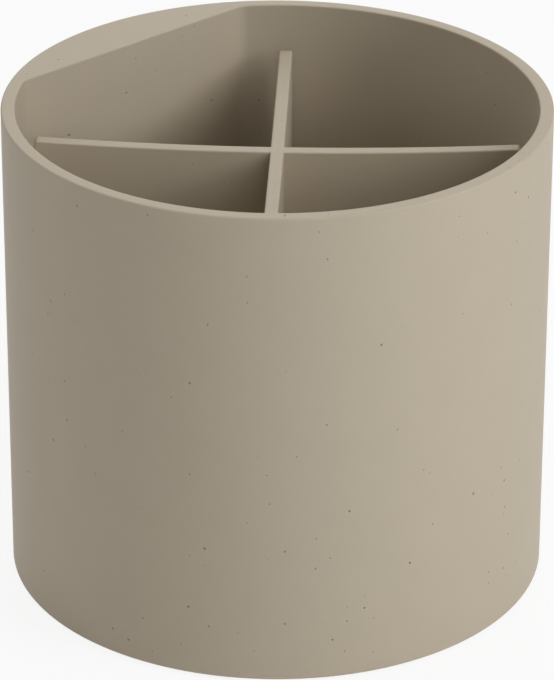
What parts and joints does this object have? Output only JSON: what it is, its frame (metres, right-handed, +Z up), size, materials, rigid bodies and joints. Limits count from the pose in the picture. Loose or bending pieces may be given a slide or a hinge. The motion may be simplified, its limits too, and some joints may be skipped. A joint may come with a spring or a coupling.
{
  "type": "bathroom cup",
  "caption": "Straight round open-topped bathroom cup, its rim widened into a flat land on one side, with a lift-out cross divider and a soft pad under the base.",
  "frame": {"origin": "centre of the face that the cup stands on, on the cup's axis", "axes": "+Z up along the cup's axis; the divider's vanes lie along X and Y; the flat land of the rim lies between the -X and the +Y vane"},
  "size_m": [0.11, 0.11, 0.101],
  "materials": {
    "shell": "fine matt, with sparse dark specks",
    "divider": "fine matt, with sparse dark specks",
    "pad": "soft matt"
  },
  "bodies": {
    "cup": {"cup_shell": "shell", "base_pad": "pad"},
    "divider": {"divider": "divider"}
  },
  "joints": [
    {"name": "divider_lift", "type": "slide", "parent": "cup", "child": "divider", "axis": [0, 0, 1], "range_m": [0, 0.1]}
  ]
}
